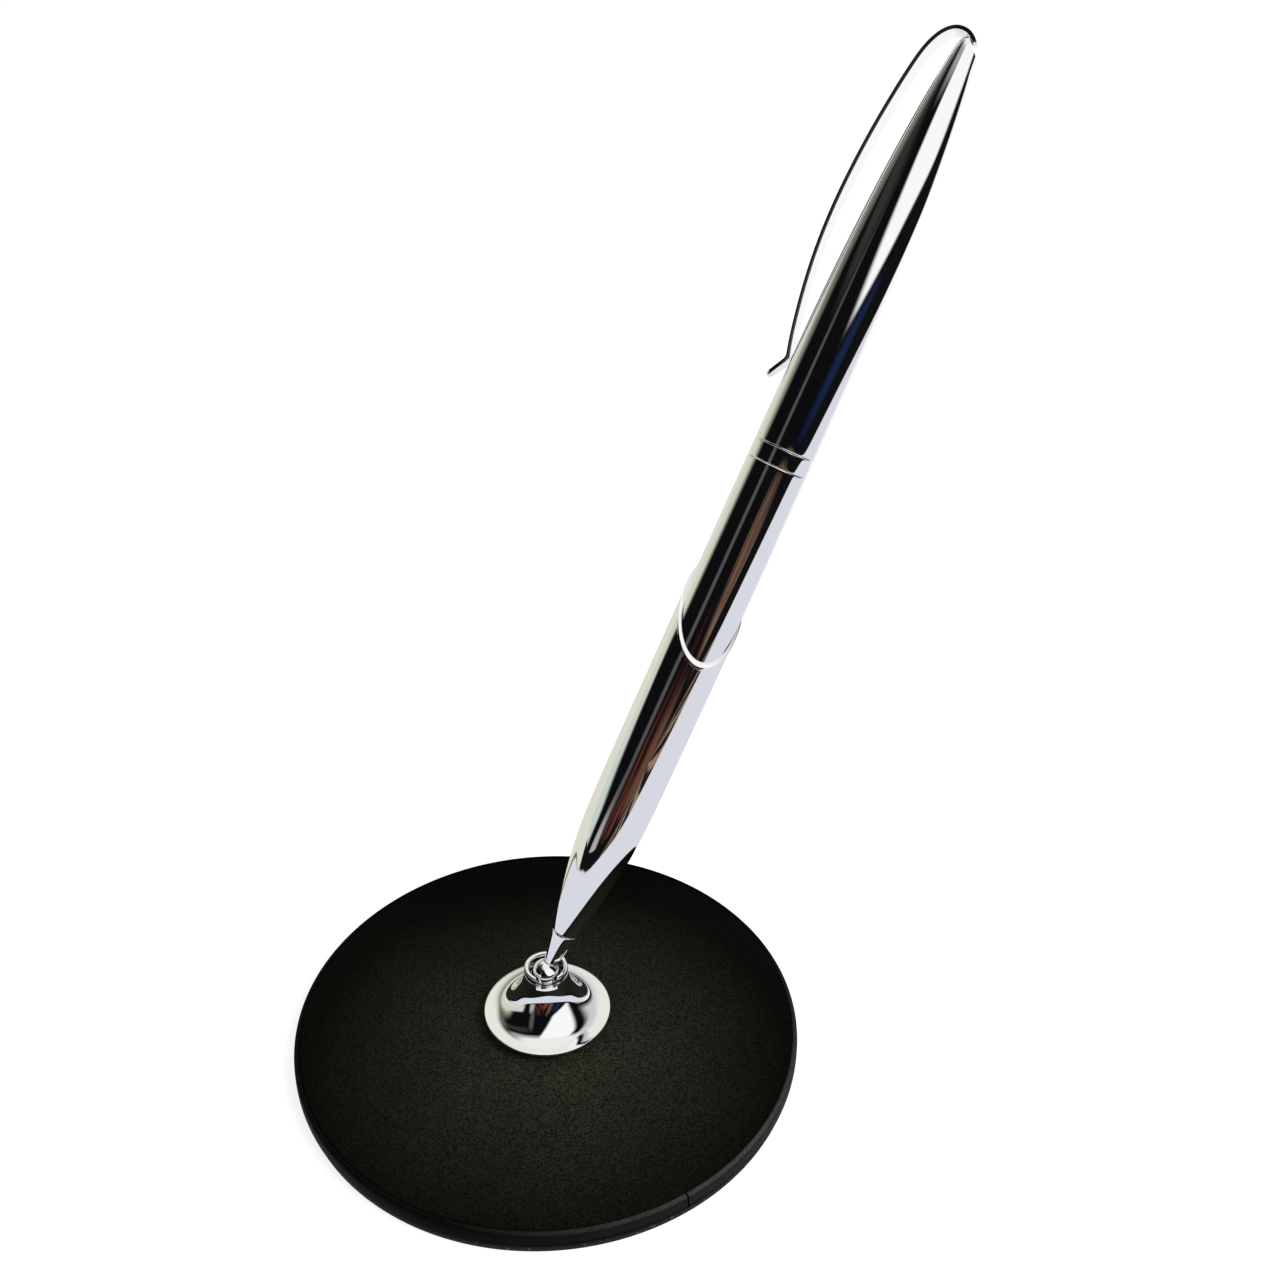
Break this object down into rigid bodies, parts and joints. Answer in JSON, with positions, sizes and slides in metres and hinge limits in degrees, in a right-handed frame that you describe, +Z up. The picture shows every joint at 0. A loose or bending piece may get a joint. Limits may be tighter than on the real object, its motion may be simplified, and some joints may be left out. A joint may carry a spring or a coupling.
{
  "type": "desk pen with stand",
  "caption": "Slim chrome twist pen with a bowed clip and slanted trim ring, leaning in the swivel cup of a trumpet-shaped stand on a round leather desk base.",
  "frame": {"origin": "centre of the base's flat underside, on the table", "axes": "+Z up; the picture looks along +Y, tilted down 46 degrees; +X is to the right in it; the pen leans towards +X and +Y"},
  "size_m": [0.1042, 0.0843, 0.1458],
  "materials": {
    "leather": "fine grained, matte",
    "chrome": "polished",
    "steel": "plain",
    "brass": "turned",
    "nylon": "moulded",
    "rubber": "matte"
  },
  "bodies": {
    "base": {"bottom_pad": "leather", "weight_plate": "steel", "leather_top": "leather", "leather_band": "leather", "fixing_screw": "steel", "screw_washer": "steel", "trumpet_stand": "chrome", "cup_collar": "chrome", "cup_magnet": "steel", "swivel_pad": "nylon"},
    "race": {"swivel_race": "steel"},
    "ball": {"swivel_ball": "chrome"},
    "pen": {"nose_cone": "chrome", "front_barrel": "chrome", "trim_ring": "chrome", "rear_barrel": "chrome", "centre_band": "chrome", "joining_sleeve": "brass", "guide_sleeve": "brass", "friction_ring": "rubber"},
    "cap_half": {"upper_barrel": "chrome", "drive_bush": "nylon", "twist_spindle": "brass", "clip_rivet": "chrome"},
    "clip": {"clip_strip": "chrome"},
    "refill": {"follower": "nylon", "refill_tube": "steel", "refill_plug": "nylon", "refill_point": "brass", "writing_ball": "steel"}
  },
  "joints": [
    {"name": "seat_swivel", "type": "hinge", "parent": "base", "child": "race", "pos_m": [0, 0, 0.01374], "axis": [0, 0, 1], "continuous": true},
    {"name": "seat_tilt", "type": "hinge", "parent": "race", "child": "ball", "pos_m": [0, 0, 0.01374], "axis": [-0.5429, 0.8398, 0], "range_deg": [-29.87, 5]},
    {"name": "pen_lift", "type": "slide", "parent": "ball", "child": "pen", "axis": [0.4183, 0.2704, 0.8672], "range_m": [0, 0.03]},
    {"name": "barrel_twist", "type": "hinge", "parent": "pen", "child": "cap_half", "pos_m": [0.03731, 0.02412, 0.09109], "axis": [0.4183, 0.2704, 0.8672], "range_deg": [0, 180]},
    {"name": "refill_slide", "type": "slide", "parent": "pen", "child": "refill", "axis": [-0.4183, -0.2704, -0.8672], "range_m": [0, 0.0016]},
    {"name": "clip_flex", "type": "hinge", "parent": "cap_half", "child": "clip", "pos_m": [0.06313, 0.04026, 0.14372], "axis": [0.4555, 0.7635, -0.4578], "range_deg": [0, 3], "stiffness_Nm_per_rad": 0.5}
  ],
  "couplings": [
    {"joint": "barrel_twist", "follows": "refill_slide", "rad_per_m": 1963.5}
  ]
}
